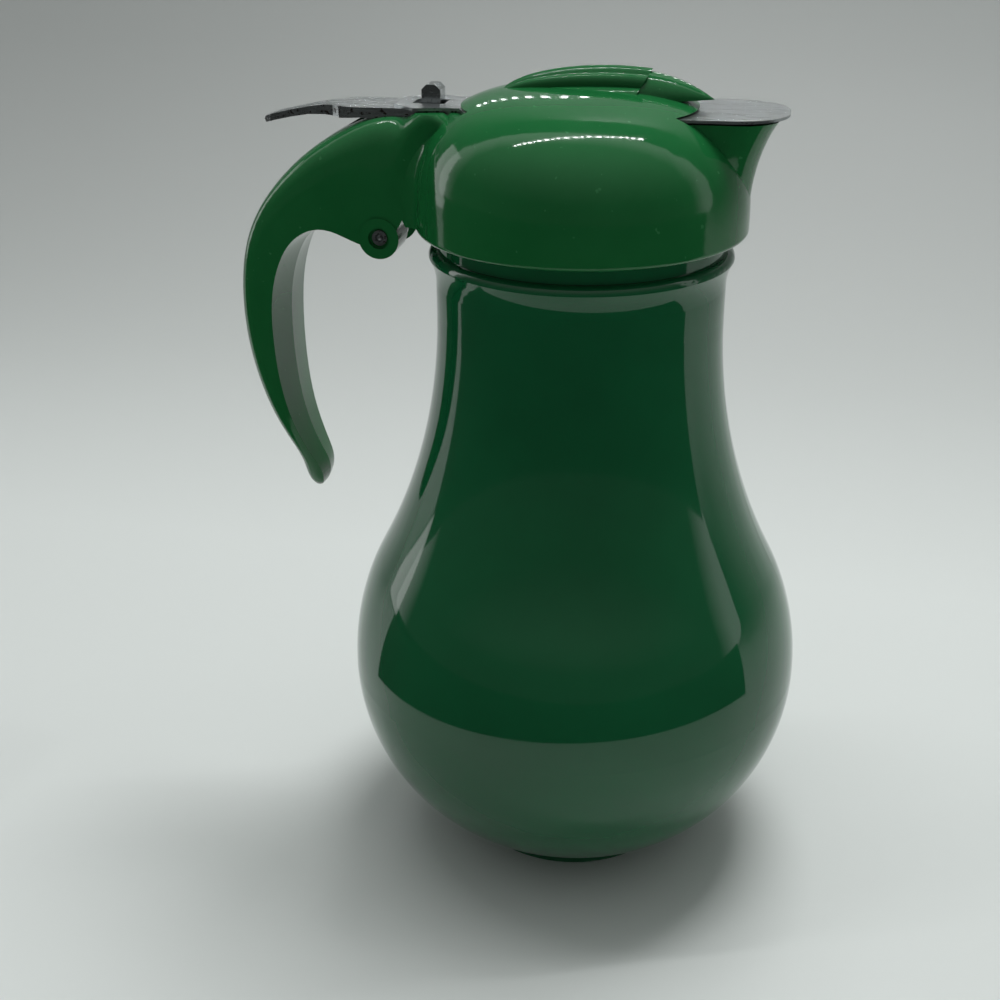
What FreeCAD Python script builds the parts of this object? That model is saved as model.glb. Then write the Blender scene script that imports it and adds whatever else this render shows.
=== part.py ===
"""Syrup pitcher: a glazed pear-shaped jar under a moulded top with a sliding cut-off blade.

The frame has its origin at the middle of the jar's foot, +X towards the spout, +Z up.
Lengths are in millimetres.
"""
import FreeCAD, Part
import math
import os

import Sketcher

SIZES = {
    # jar
    "belly_radius": 42.0,
    "belly_height": 36.5,
    "belly_arc_below": 37.5,
    "belly_arc_above": 46.0,
    "neck_radius": 24.9,
    "waist_height": 105.0,
    "jar_wall": 4.2,
    "jar_floor": 5.0,
    "foot_radius": 20.5,
    "foot_ring": 3.5,
    "foot_recess_depth": 1.4,
    "neck_straight": 5.5,
    "bead_height": 6.0,
    "bead_swell": 1.2,
    "mouth_inset": 0.3,
    "mouth_height": 7.7,
    "rim_round": 1.2,
    # top moulding
    "top_play": 0.7,
    "skirt_wall": 2.8,
    "skirt_height": 2.0,
    "skirt_gap": 3.0,
    "skirt_edge_round": 0.7,
    "dome_height": 21.3,
    "dome_front_fullness": 2.7,
    "dome_rear_fullness": 3.0,
    "seat_width": 3.1,
    "roof_web": 4.8,
    "hollow_bend": 7.0,
    "handle_half_width": 9.0,
    "root_blend": 4.5,
    "spout_wall": 1.6,
    # blade and what carries it
    "blade_depth": 3.8,
    "blade_sheet": 0.45,
    "blade_half_width": 10.1,
    "blade_reach": 5.2,
    "blade_flat": 1.1,
    "slide_gap": 0.3,
    "tongue_sheet": 1.7,
    "tongue_half_width": 5.0,
    # thumb lever, its pin and spring
    "pivot_reach": 5.1,
    "pivot_drop": 1.4,
    "pin_radius": 1.3,
    "pin_gap": 0.06,
    "pin_inset": 0.3,
    "boss_wall": 2.2,
    "eye_wall": 1.6,
    "lever_slot": 6.4,
    "lever_thickness": 2.6,
    "post_length": 3.2,
    "post_half_width": 1.8,
    "post_rise": 3.4,
    "spring_wire": 0.35,
}

# Sizes and places that follow from those in the sheet.
SUMS = {
    "foot_recess_radius": "foot_radius - foot_ring",
    "mouth_radius": "neck_radius - mouth_inset",
    "bead_radius": "neck_radius + bead_swell",
    "bead_lip": "bead_swell + mouth_inset",
    "bead_foot": "waist_height + neck_straight",
    "bead_top": "bead_foot + bead_height",
    "bead_side": "bead_top - bead_lip",
    "rim_height": "bead_top + mouth_height",
    "skirt_bore": "mouth_radius + top_play",
    "skirt_radius": "skirt_bore + skirt_wall",
    "skirt_bottom": "bead_top + skirt_gap",
    "dome_base": "skirt_bottom + skirt_height",
    "dome_top": "dome_base + dome_height",
    "dome_bore": "skirt_bore - seat_width",
    "hollow_core": "dome_bore - hollow_bend",
    "blade_bottom": "dome_top - blade_depth",
    "blade_tip": "skirt_radius + blade_reach",
    "blade_corner": "blade_half_width - blade_flat",
    "slot_bottom": "blade_bottom - slide_gap",
    "slot_top": "blade_bottom + blade_sheet + slide_gap",
    "slot_side": "blade_half_width + slide_gap",
    "hollow_roof": "blade_bottom - roof_web",
    "tongue_bottom": "blade_bottom - tongue_sheet",
    "tongue_side": "tongue_half_width + slide_gap",
    "pivot_x": "0 - skirt_radius - pivot_reach",
    "pivot_z": "skirt_bottom - pivot_drop",
    "boss_radius": "pin_radius + boss_wall",
    "eye_radius": "pin_radius + eye_wall",
    "eye_bore": "pin_radius + pin_gap",
    "pin_end": "handle_half_width - pin_inset",
    "post_top": "blade_bottom + post_rise",
    "post_side": "post_half_width + slide_gap",
}

doc = FreeCAD.newDocument("SyrupPitcher")
sheet = doc.addObject("Spreadsheet::Sheet", "Sizes")
for row, (alias, value) in enumerate(SIZES.items(), start=1):
    sheet.set(f"A{row}", alias)
    sheet.set(f"B{row}", str(value))
    sheet.setAlias(f"B{row}", alias)
doc.recompute()


def size(name):
    """The number under this name: from the sheet, summed from other names, or plain."""
    if name in SIZES:
        return float(sheet.get(name))
    if name not in SUMS:
        return float(name)
    total = 0.0
    sign = 1
    for word in SUMS[name].split():
        if word in "+-":
            sign = 1 if word == "+" else -1
        else:
            total += sign * size(word)
    return total


def cell(name):
    """The same name as an expression of the sheet's cells."""
    if name in SIZES:
        return f"<<Sizes>>.{name}"
    if name not in SUMS:
        return name
    words = [word if word in "+-" else cell(word) for word in SUMS[name].split()]
    return "(" + " ".join(words) + ")"


def origin_item(body, role):
    """The body's own origin plane or axis with this role."""
    for item in body.Origin.OriginFeatures:
        if item.Role == role:
            return item
    raise RuntimeError(f"no {role} in {body.Label}")


def new_body(label):
    """An empty body under its own name."""
    body = doc.addObject("PartDesign::Body", f"{label}_body")
    body.Label = label
    return body


def new_sketch(body, name, role, offset=0.0):
    """A sketch on one of the body's origin planes, moved along the plane's normal."""
    sketch = body.newObject("Sketcher::SketchObject", name)
    sketch.AttachmentSupport = [(origin_item(body, role), "")]
    sketch.MapMode = "FlatFace"
    sketch.AttachmentOffset = FreeCAD.Placement(FreeCAD.Vector(0, 0, offset), FreeCAD.Rotation())
    return sketch


def drive(sketch, kind, element, end=0, expression=""):
    """Bind the place of an element's end, or an arc's radius, to the sheet's cells.

    A place is measured from the sketch's origin, which is element -1, end 1.
    """
    if kind == "Radius":
        now = sketch.Geometry[element].Radius
        item = Sketcher.Constraint(kind, element, now)
    else:
        point = sketch.getPoint(element, end)
        now = point.x if kind == "DistanceX" else point.y
        item = Sketcher.Constraint(kind, -1, 1, element, end, now)
    index = sketch.addConstraint(item)
    sketch.setExpression(f"Constraints[{index}]", expression)


def chain(sketch, first, last):
    """Join each element of the sketch from first to last end to start with the next."""
    for index in range(first, last):
        sketch.addConstraint(Sketcher.Constraint("Coincident", index, 2, index + 1, 1))


def arc(center_x, center_y, radius, start_deg, end_deg):
    """A counter-clockwise arc in a sketch's own plane."""
    circle = Part.Circle(FreeCAD.Vector(center_x, center_y, 0), FreeCAD.Vector(0, 0, 1), radius)
    return Part.ArcOfCircle(circle, math.radians(start_deg), math.radians(end_deg))


def line(start, end):
    """A straight edge in a sketch's own plane."""
    return Part.LineSegment(FreeCAD.Vector(*start, 0), FreeCAD.Vector(*end, 0))


def pear_side(sketch, wall, low_end):
    """Add the pear's three tangent arcs, drawn inwards by the wall: below, above and hollow.

    The lowest arc starts low_end degrees under the belly's widest level.
    """
    wide = size("belly_radius") - wall
    below = size("belly_arc_below") - wall
    above = size("belly_arc_above") - wall
    neck = size("neck_radius") - wall
    rise = size("waist_height") - size("belly_height")
    inset = above - wide + neck
    hollow = (rise**2 + inset**2 - above**2) / (2 * (above - inset))
    turn = math.degrees(math.atan2(rise, neck + hollow - wide + above))
    first = sketch.addGeometry(arc(wide - below, size("belly_height"), below, -low_end, 0))
    sketch.addGeometry(arc(wide - above, size("belly_height"), above, 0, turn))
    sketch.addGeometry(arc(neck + hollow, size("waist_height"), hollow, 180, 180 + turn))
    sketch.addConstraint(Sketcher.Constraint("Tangent", first, 2, first + 1, 1))
    sketch.addConstraint(Sketcher.Constraint("Tangent", first + 1, 2, first + 2, 2))
    drive(sketch, "DistanceX", first, 2, expression=f"{cell('belly_radius')} - {wall}")
    drive(sketch, "DistanceY", first, 2, expression=cell("belly_height"))
    drive(sketch, "DistanceY", first, 3, expression=cell("belly_height"))
    drive(sketch, "Radius", first, expression=f"{cell('belly_arc_below')} - {wall}")
    drive(sketch, "Radius", first + 1, expression=f"{cell('belly_arc_above')} - {wall}")
    drive(sketch, "DistanceX", first + 2, 1, expression=f"{cell('neck_radius')} - {wall}")
    drive(sketch, "DistanceY", first + 2, 1, expression=cell("waist_height"))
    return first


def end_of(sketch, index, end):
    """The place of an element's start (1) or end (2) as a pair."""
    point = sketch.getPoint(index, end)
    return (point.x, point.y)


def revolve(body, sketch, kind, name):
    """Turn the sketch a full round about its own upright axis."""
    feature = body.newObject(kind, name)
    feature.Profile = sketch
    feature.ReferenceAxis = (sketch, ["V_Axis"])
    feature.Angle = 360
    doc.recompute()
    return feature


OVERRUN = 2.0


def make_jar():
    """The jar: foot ring, pear body, collar under the top, and the hollow down to the floor."""
    body = new_body("jar")
    outer = new_sketch(body, "jar_outside", "XZ_Plane")
    recess = size("foot_recess_radius")
    depth = size("foot_recess_depth")
    foot = size("foot_radius")
    outer.addGeometry(line((0, depth), (recess, depth)))
    outer.addGeometry(line((recess, depth), (recess, 0)))
    outer.addGeometry(line((recess, 0), (foot, 0)))
    below = size("belly_arc_below")
    foot_reach = foot - size("belly_radius") + below
    side = pear_side(outer, 0, math.degrees(math.acos(foot_reach / below)))
    low = outer.addGeometry(line((foot, 0), end_of(outer, side, 1)))
    waist = end_of(outer, side + 2, 1)
    neck_x = size("neck_radius")
    swell = size("bead_swell")
    flare_height = size("bead_side") - size("bead_foot")
    flare = (swell**2 + flare_height**2) / (2 * swell)
    lift = math.degrees(math.asin(flare_height / flare))
    mouth = size("mouth_radius")
    rim = size("rim_height")
    round_off = size("rim_round")
    neck = outer.addGeometry(line(waist, (neck_x, size("bead_foot"))))
    outer.addGeometry(arc(neck_x + flare, size("bead_foot"), flare, 180 - lift, 180))
    bead = outer.addGeometry(arc(mouth, size("bead_side"), size("bead_lip"), 0, 90))
    outer.addGeometry(line((mouth, size("bead_top")), (mouth, rim - round_off)))
    outer.addGeometry(arc(mouth - round_off, rim - round_off, round_off, 0, 90))
    outer.addGeometry(line((mouth - round_off, rim), (0, rim)))
    last = outer.addGeometry(line((0, rim), (0, depth)))
    join = Sketcher.Constraint
    outer.addConstraint(join("Coincident", 0, 2, 1, 1))
    outer.addConstraint(join("Coincident", 1, 2, 2, 1))
    outer.addConstraint(join("Coincident", 2, 2, low, 1))
    outer.addConstraint(join("Coincident", low, 2, side, 1))
    outer.addConstraint(join("Tangent", neck, 1, side + 2, 1))
    outer.addConstraint(join("Tangent", neck, 2, neck + 1, 2))
    outer.addConstraint(join("Coincident", neck + 1, 1, bead, 1))
    chain(outer, bead, bead + 1)
    chain(outer, bead + 3, last)
    outer.addConstraint(join("Coincident", last, 2, 0, 1))
    outer.addConstraint(join("PointOnObject", 0, 1, -2))
    outer.addConstraint(join("PointOnObject", last, 1, -2))
    for flat in (0, 2, last - 1):
        outer.addConstraint(join("Horizontal", flat))
    for upright in (1, low, bead + 1):
        outer.addConstraint(join("Vertical", upright))
    outer.addConstraint(join("PointOnObject", 1, 2, -1))
    outer.addConstraint(join("Tangent", bead + 1, 2, bead + 2, 1))
    outer.addConstraint(join("Tangent", bead + 2, 2, bead + 3, 1))
    drive(outer, "DistanceX", 1, 2, expression=cell("foot_recess_radius"))
    drive(outer, "DistanceY", 0, 2, expression=cell("foot_recess_depth"))
    drive(outer, "DistanceX", 2, 2, expression=cell("foot_radius"))
    drive(outer, "DistanceY", neck, 2, expression=cell("bead_foot"))
    outer.addConstraint(join("Horizontal", bead, 1, bead, 3))
    outer.addConstraint(join("Vertical", bead, 2, bead, 3))
    drive(outer, "Radius", bead, expression=cell("bead_lip"))
    drive(outer, "DistanceX", bead, 3, expression=cell("mouth_radius"))
    drive(outer, "DistanceY", bead, 3, expression=cell("bead_side"))
    drive(outer, "Radius", bead + 2, expression=cell("rim_round"))
    drive(outer, "DistanceY", bead + 2, 2, expression=cell("rim_height"))
    doc.recompute()
    revolve(body, outer, "PartDesign::Revolution", "jar_solid")
    solid_volume = body.Shape.Volume

    inner = new_sketch(body, "jar_inside", "XZ_Plane")
    wall = size("jar_wall")
    floor_drop = size("belly_height") - size("jar_floor")
    inside = pear_side(inner, wall, math.degrees(math.asin(floor_drop / (below - wall))))
    floor_end = end_of(inner, inside, 1)
    above_rim = rim + OVERRUN
    floor = inner.addGeometry(line((0, size("jar_floor")), floor_end))
    bore = inner.addGeometry(line(end_of(inner, inside + 2, 1), (neck_x - wall, above_rim)))
    inner.addGeometry(line((neck_x - wall, above_rim), (0, above_rim)))
    inner.addGeometry(line((0, above_rim), (0, size("jar_floor"))))
    inner.addConstraint(join("Coincident", floor, 2, inside, 1))
    inner.addConstraint(join("Tangent", bore, 1, inside + 2, 1))
    chain(inner, bore, bore + 2)
    inner.addConstraint(join("Coincident", bore + 2, 2, floor, 1))
    inner.addConstraint(join("Horizontal", floor))
    inner.addConstraint(join("Horizontal", bore + 1))
    inner.addConstraint(join("PointOnObject", floor, 1, -2))
    inner.addConstraint(join("PointOnObject", bore + 2, 1, -2))
    drive(inner, "DistanceY", floor, 1, expression=cell("jar_floor"))
    drive(inner, "DistanceY", bore, 2, expression=f"{cell('rim_height')} + {OVERRUN}")
    doc.recompute()
    revolve(body, inner, "PartDesign::Groove", "jar_hollow")
    if body.Shape.Volume > 0.6 * solid_volume:
        raise RuntimeError("the jar is not hollow")
    return body


def dome_point(turn, climb, radius, height):
    """A place on the dome: a superellipse profile, fuller at the rear than at the spout."""
    front = size("dome_front_fullness")
    rear = size("dome_rear_fullness")
    power = front + (rear - front) * (1 - math.cos(turn)) / 2
    along = math.cos(climb)
    up = math.sin(climb)
    reach = (along**power + up**power) ** (-1 / power)
    out = radius * reach * along
    level = size("dome_base") + height * reach * up
    return FreeCAD.Vector(out * math.cos(turn), out * math.sin(turn), level)


def dome_solid():
    """The dome's curved skin, closed below by the skirt with its rounded lower edge."""
    rounds = 24
    climbs = 20
    radius = size("skirt_radius")
    height = size("dome_height")
    rows = []
    for i in range(rounds + 1):
        turn = 2 * math.pi * (i % rounds) / rounds
        row = [dome_point(turn, math.pi / 2 * j / climbs, radius, height) for j in range(climbs)]
        row.append(FreeCAD.Vector(0, 0, size("dome_base") + height))
        rows.append(row)
    surface = Part.BSplineSurface()
    surface.interpolate(rows)
    skin = surface.toShape()
    level = size("dome_base") + 1e-4
    edge = [item for item in skin.Edges if item.BoundBox.ZMax < level and item.Length > 1]
    base = Part.Face(Part.Wire(edge))
    cap = Part.makeSolid(Part.makeShell([skin, base]))
    skirt = base.extrude(FreeCAD.Vector(0, 0, -size("skirt_height")))
    whole = cap.fuse(skirt).removeSplitter()
    level = size("skirt_bottom") + 1e-3
    lower = [item for item in whole.Edges if item.BoundBox.ZMax < level]
    return whole.makeFillet(size("skirt_edge_round"), lower)


def feature(name, shape):
    """A document object around a shape that no primitive or PartDesign feature gives."""
    item = doc.addObject("Part::Feature", name)
    item.Shape = shape
    return item


# Stations of the handle from its tip to its root inside the dome: how far the inner edge lies
# behind the skirt and above its bottom, the same for the outer edge, the half width as a share
# of the handle's, and the squareness of the outer side.
HANDLE_STATIONS = [
    (20.6, -51.8, 21.7, -52.3, 0.14, 2.0),
    (19.8, -50.2, 22.9, -51.2, 0.32, 2.1),
    (19.8, -47.7, 23.7, -49.0, 0.44, 2.2),
    (20.8, -45.1, 24.2, -46.2, 0.52, 2.4),
    (23.5, -38.1, 27.4, -39.3, 0.69, 2.6),
    (25.1, -29.5, 30.4, -30.5, 0.84, 3.0),
    (25.5, -20.0, 31.9, -19.8, 0.94, 3.6),
    (24.7, -11.5, 31.4, -9.5, 1.0, 4.2),
    (22.3, -4.9, 28.9, -0.7, 1.02, 4.8),
    (18.5, -1.1, 23.5, 7.1, 1.02, 5.0),
    (13.5, -0.6, 16.1, 13.4, 1.01, 5.0),
    (8.1, -2.7, 8.6, 17.3, 1.0, 5.0),
    (1.6, 0.7, 1.7, 18.4, 1.0, 5.0),
    (-8.1, 2.3, -8.1, 18.5, 1.0, 5.0),
]
HANDLE_RIDGE = 0.7


def handle_section(station):
    """One closed outline across the handle: two flats to a low ridge and a curved outer side."""
    inner_back, inner_rise, outer_back, outer_rise, share, power = station
    half = share * size("handle_half_width")
    skirt = FreeCAD.Vector(-size("skirt_radius"), 0, size("skirt_bottom"))
    inner = skirt + FreeCAD.Vector(-inner_back, 0, inner_rise)
    outward = skirt + FreeCAD.Vector(-outer_back, 0, outer_rise) - inner
    depth = outward.Length
    outward.normalize()
    steps = 16
    curve = []
    for i in range(steps + 1):
        turn = math.pi * i / steps
        across = math.cos(turn)
        up = math.sin(turn)
        reach = (abs(across) ** power + up**power) ** (-1 / power)
        curve.append(inner + FreeCAD.Vector(0, half * reach * across, 0) + outward * (depth * reach * up))
    outside = Part.BSplineCurve()
    outside.interpolate(curve)
    ridge = inner - outward * min(HANDLE_RIDGE, 0.12 * depth)
    flats = [Part.LineSegment(curve[-1], ridge), Part.LineSegment(ridge, curve[0])]
    return Part.Wire([outside.toShape()] + [flat.toShape() for flat in flats])


# Levels of the blend between handle and dome: how far up the handle's root, as a share of its
# depth there, and the blend's radius as a share of its largest.
ROOT_LEVELS = [(0.0, 0.6), (0.14, 0.9), (0.42, 1.0), (0.7, 0.95), (0.86, 0.8), (0.94, 0.6)]
SINK = 0.03


def root_blend(side):
    """The hollow corner between one side of the handle's root and the dome, as a lofted solid."""
    root = HANDLE_STATIONS[-2]
    low = size("skirt_bottom") + root[1]
    high = size("skirt_bottom") + root[3]
    plans = []
    for share, round_share in ROOT_LEVELS:
        level = low + share * (high - low)
        climb = max(0.0, level - size("dome_base")) / size("dome_height")
        fullness = size("dome_rear_fullness")
        radius = size("skirt_radius") * (1 - climb**fullness) ** (1 / fullness) - SINK
        half = size("handle_half_width") * (1 - share ** root[5]) ** (1 / root[5]) - SINK
        blend = round_share * size("root_blend")
        out = radius + blend
        center = FreeCAD.Vector(-math.sqrt(out**2 - (half + blend) ** 2), half + blend, level)
        on_handle = FreeCAD.Vector(center.x, half, level)
        on_dome = FreeCAD.Vector(center.x * radius / out, center.y * radius / out, level)
        nearest = (on_handle + on_dome) / 2 - center
        middle = center + nearest * (blend / nearest.Length)
        inside = FreeCAD.Vector(on_dome.x + blend / 2, half - blend / 2, level)
        below = FreeCAD.Vector(center.x, half - blend / 2, level)
        points = [on_handle, middle, on_dome, inside, below]
        near = [FreeCAD.Vector(point.x, side * point.y, level) for point in points]
        edges = [
            Part.Arc(near[0], near[1], near[2]),
            Part.LineSegment(near[2], near[3]),
            Part.LineSegment(near[3], near[4]),
            Part.LineSegment(near[4], near[0]),
        ]
        plans.append(Part.Wire([edge.toShape() for edge in edges]))
    return Part.makeLoft(plans, True, False)


def rounded_plan(rear, front, half, corner, level):
    """A flat outline, square at the rear and round-cornered at the front."""
    turn = math.sqrt(0.5)
    near = FreeCAD.Vector(front - corner, -half + corner, level)
    far = FreeCAD.Vector(front - corner, half - corner, level)
    points = [
        FreeCAD.Vector(rear, -half, level),
        near + FreeCAD.Vector(0, -corner, 0),
        near + FreeCAD.Vector(corner, 0, 0),
        far + FreeCAD.Vector(corner, 0, 0),
        far + FreeCAD.Vector(0, corner, 0),
        FreeCAD.Vector(rear, half, level),
    ]
    near_mid = near + FreeCAD.Vector(corner * turn, -corner * turn, 0)
    far_mid = far + FreeCAD.Vector(corner * turn, corner * turn, 0)
    edges = [
        Part.LineSegment(points[0], points[1]),
        Part.Arc(points[1], near_mid, points[2]),
        Part.LineSegment(points[2], points[3]),
        Part.Arc(points[3], far_mid, points[4]),
        Part.LineSegment(points[4], points[5]),
        Part.LineSegment(points[5], points[0]),
    ]
    return Part.Wire([edge.toShape() for edge in edges])


# Levels of the spout's outside: depth under the blade's slot, reach past the skirt, half width
# less the blade's, and the half width of the flat between its rounded corners.
SPOUT_LEVELS = [
    (17.7, -0.2, -5.5, 0.6),
    (12.2, -0.1, -3.5, 1.2),
    (7.7, 0.6, -1.6, 2.3),
    (3.7, 1.8, -0.6, 3.1),
    (0.0, 3.7, -0.3, 3.6),
]


def spout_solid(levels, wall, rear, top_extra):
    """The spout's outside or, inset by its wall, its channel, lofted from level to level."""
    plans = []
    for drop, reach, narrower, flat in levels:
        front = size("skirt_radius") + reach - wall
        half = size("blade_half_width") + narrower - wall
        plans.append(rounded_plan(rear, front, half, half - flat, size("slot_bottom") - drop))
    body = Part.makeLoft(plans, True, False)
    if top_extra == 0:
        return body
    lid = Part.Face(plans[-1]).extrude(FreeCAD.Vector(0, 0, top_extra))
    return body.fuse(lid)


def box(name, low, high):
    """A Part box between two corners, given as expressions of the sheet's cells."""
    item = doc.addObject("Part::Box", name)
    for axis, start, end in zip("xyz", low, high):
        item.setExpression(f"Placement.Base.{axis}", start)
        side = {"x": "Length", "y": "Width", "z": "Height"}[axis]
        item.setExpression(side, f"({end}) - ({start})")
    return item


def cylinder(name, radius, height, base, turn=None):
    """A Part cylinder with its radius, height and base given as expressions."""
    item = doc.addObject("Part::Cylinder", name)
    item.setExpression("Radius", radius)
    item.setExpression("Height", height)
    if turn is not None:
        item.Placement = FreeCAD.Placement(FreeCAD.Vector(), turn)
    for axis, value in zip("xyz", base):
        item.setExpression(f"Placement.Base.{axis}", value)
    return item


def ellipsoid(name, center, radii, lean=0.0):
    """A full Part ellipsoid with half lengths along X, Y and Z, leant about X."""
    item = doc.addObject("Part::Ellipsoid", name)
    item.Radius2, item.Radius3, item.Radius1 = radii
    item.Angle1 = -90
    item.Angle2 = 90
    item.Angle3 = 360
    turn = FreeCAD.Rotation(FreeCAD.Vector(1, 0, 0), lean)
    item.Placement = FreeCAD.Placement(FreeCAD.Vector(*center), turn)
    return item


def combine(kind, name, *items):
    """A Part fuse, common or cut of the items in order."""
    item = doc.addObject(kind, name)
    if kind == "Part::Cut":
        item.Base, item.Tool = items
    else:
        item.Shapes = list(items)
    return item


def prism(name, points, half):
    """An upright outline in the XZ plane, thickened evenly to both sides of it."""
    corners = [FreeCAD.Vector(x, -half, z) for x, z in points]
    face = Part.Face(Part.makePolygon(corners + corners[:1]))
    return feature(name, face.extrude(FreeCAD.Vector(0, 2 * half, 0)))


ACROSS = FreeCAD.Rotation(FreeCAD.Vector(1, 0, 0), -90)
FIN_BACK = 23.6
FIN_DROP = 2.5
FIN_RIB = (18.7, 2.6, 5.7)
FIN_CORE = (16.0, 4.3, 4.9)
RIB_ANGLES = (-72, -36, 0, 36, 72)
NOSE_DROP = 1.8
NOSE_BACK = 20.6
NOSE_LENGTH = 13.7
NOSE_RADIUS = 4.4
SEAM_BACK = 19.8
SEAM_LEAN = 31


def nose_solid():
    """The fin's pointed nose: an arc turned about a level axis, blunt at the seam."""
    base = FreeCAD.Vector(size("skirt_radius") - NOSE_BACK, 0, size("dome_top") - NOSE_DROP)
    bend = (NOSE_LENGTH**2 + NOSE_RADIUS**2) / (2 * NOSE_RADIUS)
    half_turn = math.asin(NOSE_LENGTH / bend) / 2
    crown = base + FreeCAD.Vector(0, 0, NOSE_RADIUS)
    center = crown - FreeCAD.Vector(0, 0, bend)
    middle = center + FreeCAD.Vector(math.sin(half_turn), 0, math.cos(half_turn)) * bend
    tip = base + FreeCAD.Vector(NOSE_LENGTH, 0, 0)
    edges = [
        Part.LineSegment(base, crown),
        Part.Arc(crown, middle, tip),
        Part.LineSegment(tip, base),
    ]
    face = Part.Face(Part.Wire([edge.toShape() for edge in edges]))
    return face.revolve(base, FreeCAD.Vector(1, 0, 0), 360)


def make_fin():
    """The streamlined ridge on the dome: a ribbed tail, a seam and a smooth pointed nose."""
    middle = (size("skirt_radius") - FIN_BACK, 0, size("dome_top") - FIN_DROP)
    ribs = [ellipsoid(f"rib_{i}", middle, FIN_RIB, lean) for i, lean in enumerate(RIB_ANGLES)]
    tail = combine("Part::MultiFuse", "fin_ribs", *ribs)
    lean = FreeCAD.Rotation(FreeCAD.Vector(0, 1, 0), SEAM_LEAN)
    seam = FreeCAD.Vector(size("skirt_radius") - SEAM_BACK, 0, size("dome_top") - NOSE_DROP)
    block = 60.0
    ahead = doc.addObject("Part::Box", "ahead_of_seam")
    behind = doc.addObject("Part::Box", "behind_seam")
    for item, back in ((ahead, 0.0), (behind, -block)):
        item.Length = item.Width = item.Height = block
        corner = lean.multVec(FreeCAD.Vector(back, -block / 2, -block / 2))
        item.Placement = FreeCAD.Placement(corner + seam, lean)
    tail = combine("Part::Cut", "fin_tail", tail, ahead)
    nose = combine("Part::Cut", "fin_nose", feature("nose", nose_solid()), behind)
    core = ellipsoid("fin_core", middle, FIN_CORE)
    tail = combine("Part::MultiFuse", "fin_body", tail, combine("Part::Cut", "core_tail", core, ahead))
    whole = combine("Part::MultiFuse", "fin_whole", tail, nose)
    above = doc.addObject("Part::Box", "above_underside")
    above.Length = above.Width = above.Height = block
    above.Placement.Base = FreeCAD.Vector(-block / 2, -block / 2, seam.z)
    return combine("Part::MultiCommon", "fin", whole, above)


CHANNEL_SHELF = 6.2
SLOT_OVERRUN = 18.0
TONGUE_SLOT_END = 13.9
BOSS_PROUD = 0.2
SINK_DEPTH = 0.6
SINK_MARGIN = 0.5


def lever_slot():
    """The upright slot in the handle's root that the lever swings in, open at top and bottom."""
    back = -size("skirt_radius")
    foot = size("pivot_z")
    sheet_low = size("blade_bottom")
    points = [
        (back - 9.1, foot - 6.0),
        (back - 1.3, foot - 6.0),
        (back - 1.2, foot + 0.8),
        (back + 4.9, sheet_low - 6.9),
        (back + 4.9, sheet_low),
        (back - 12.1, sheet_low),
        (back - 9.1, foot + 5.8),
    ]
    return prism("lever_slot", points, size("lever_slot") / 2)


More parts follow.
